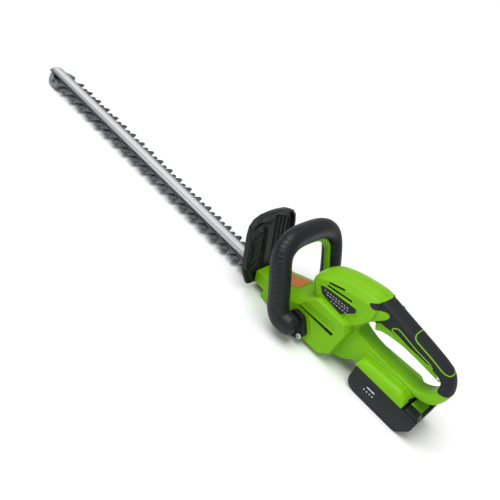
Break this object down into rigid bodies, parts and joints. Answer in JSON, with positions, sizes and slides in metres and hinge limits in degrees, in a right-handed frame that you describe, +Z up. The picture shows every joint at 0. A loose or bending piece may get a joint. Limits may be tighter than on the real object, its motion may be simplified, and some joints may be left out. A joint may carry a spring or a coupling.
{
  "type": "cordless hedge trimmer",
  "caption": "Cordless hedge trimmer with a toothed double-action blade, hand guard, wrap-round front handle, closed rear handle with trigger and a slide-in battery.",
  "frame": {"origin": "middle of the bounding box, on the plane the tool rests on", "axes": "+X forward along the blade, +Y to the user's left, +Z up"},
  "size_m": [0.9022, 0.1748, 0.1422],
  "materials": {
    "green_housing": "satin moulded plastic, bright green",
    "black_plastic": "fine-grained black plastic",
    "rubber_grip": "soft overmoulded rubber, leather grain",
    "charcoal_plastic": "charcoal battery plastic",
    "orange_label": "printed vinyl sticker, left blank",
    "black_label": "satin black plate, left blank",
    "screw_steel": "zinc plated",
    "blade_steel": "ground tool steel, dark",
    "bar_steel": "bright rolled steel",
    "grey_plastic": "grey moulded plastic",
    "cast_alloy": "die cast",
    "motor_copper": "wound copper and laminations",
    "board_green": "printed circuit board",
    "cell_wrap": "shrink-wrapped steel cells"
  },
  "bodies": {
    "housing": {"housing_left": "green_housing", "housing_right": "green_housing", "grip_left": "rubber_grip", "grip_right": "rubber_grip", "nameplate_left": "black_label", "nameplate_right": "black_label", "deck_label": "orange_label", "housing_screw_1": "screw_steel", "housing_screw_2": "screw_steel", "housing_screw_3": "screw_steel", "housing_screw_4": "screw_steel", "housing_screw_5": "screw_steel", "housing_screw_6": "screw_steel", "hand_guard": "black_plastic", "guard_screw_left": "screw_steel", "guard_screw_right": "screw_steel", "handle_shell_front": "black_plastic", "handle_shell_rear": "black_plastic", "front_switch": "black_plastic", "handle_bracket_left": "black_plastic", "handle_bracket_right": "black_plastic", "bracket_screw_left": "screw_steel", "bracket_screw_right": "screw_steel", "blade_support_bar": "bar_steel", "tip_protector": "grey_plastic", "blade_bolt_1": "screw_steel", "blade_bolt_2": "screw_steel", "blade_bolt_3": "screw_steel", "blade_bolt_4": "screw_steel", "blade_bolt_5": "screw_steel", "gear_case_lower": "cast_alloy", "gear_case_upper": "cast_alloy", "bearing_lower": "screw_steel", "bearing_upper": "screw_steel", "motor_can": "cast_alloy", "trigger_pin": "screw_steel", "trigger_spring": "screw_steel", "trigger_switch": "black_plastic", "control_board": "board_green", "terminal_block": "black_plastic"},
    "drive": {"drive_gear": "blade_steel", "gear_shaft": "screw_steel"},
    "upper_blade": {"upper_blade": "blade_steel"},
    "lower_blade": {"lower_blade": "blade_steel"},
    "rotor": {"motor_rotor": "motor_copper", "motor_pinion": "blade_steel", "motor_fan": "black_plastic"},
    "trigger": {"trigger": "green_housing"},
    "switch_bar": {"front_switch_bar": "green_housing"},
    "battery": {"battery_base": "charcoal_plastic", "battery_cover": "charcoal_plastic", "battery_board": "board_green", "cell_1": "cell_wrap", "cell_2": "cell_wrap", "cell_3": "cell_wrap", "cell_4": "cell_wrap", "cell_5": "cell_wrap"},
    "release_button": {"release_button": "green_housing"}
  },
  "joints": [
    {"name": "drive_spin", "type": "hinge", "parent": "housing", "child": "drive", "pos_m": [-0.196, 0, 0.02], "axis": [0, 0, 1], "range_deg": [-90, 90]},
    {"name": "upper_blade_slide", "type": "slide", "parent": "housing", "child": "upper_blade", "axis": [1, 0, 0], "range_m": [-0.008, 0.008]},
    {"name": "lower_blade_slide", "type": "slide", "parent": "housing", "child": "lower_blade", "axis": [1, 0, 0], "range_m": [-0.008, 0.008]},
    {"name": "rotor_spin", "type": "hinge", "parent": "housing", "child": "rotor", "pos_m": [-0.234, 0, 0.07], "axis": [0, 0, 1], "range_deg": [-360, 360]},
    {"name": "trigger_pull", "type": "hinge", "parent": "housing", "child": "trigger", "pos_m": [-0.421, 0, 0.104], "axis": [0, -1, 0], "range_deg": [0, 5], "stiffness_Nm_per_rad": 4, "springref_deg": -2.86},
    {"name": "switch_bar_press", "type": "slide", "parent": "housing", "child": "switch_bar", "axis": [0.5075, 0, 0.8616], "range_m": [0, 0.003], "stiffness_N_per_m": 2000, "springref_m": -0.001},
    {"name": "battery_slide", "type": "slide", "parent": "housing", "child": "battery", "axis": [-1, 0, 0], "range_m": [0, 0.12]},
    {"name": "release_press", "type": "slide", "parent": "battery", "child": "release_button", "axis": [0.3457, 0, -0.9383], "range_m": [0, 0.003], "stiffness_N_per_m": 800, "springref_m": -0.001}
  ],
  "couplings": [
    {"joint": "upper_blade_slide", "follows": "drive_spin", "m_per_rad": -0.0050929},
    {"joint": "lower_blade_slide", "follows": "drive_spin", "m_per_rad": 0.0050929},
    {"joint": "rotor_spin", "follows": "drive_spin", "ratio": -4}
  ]
}
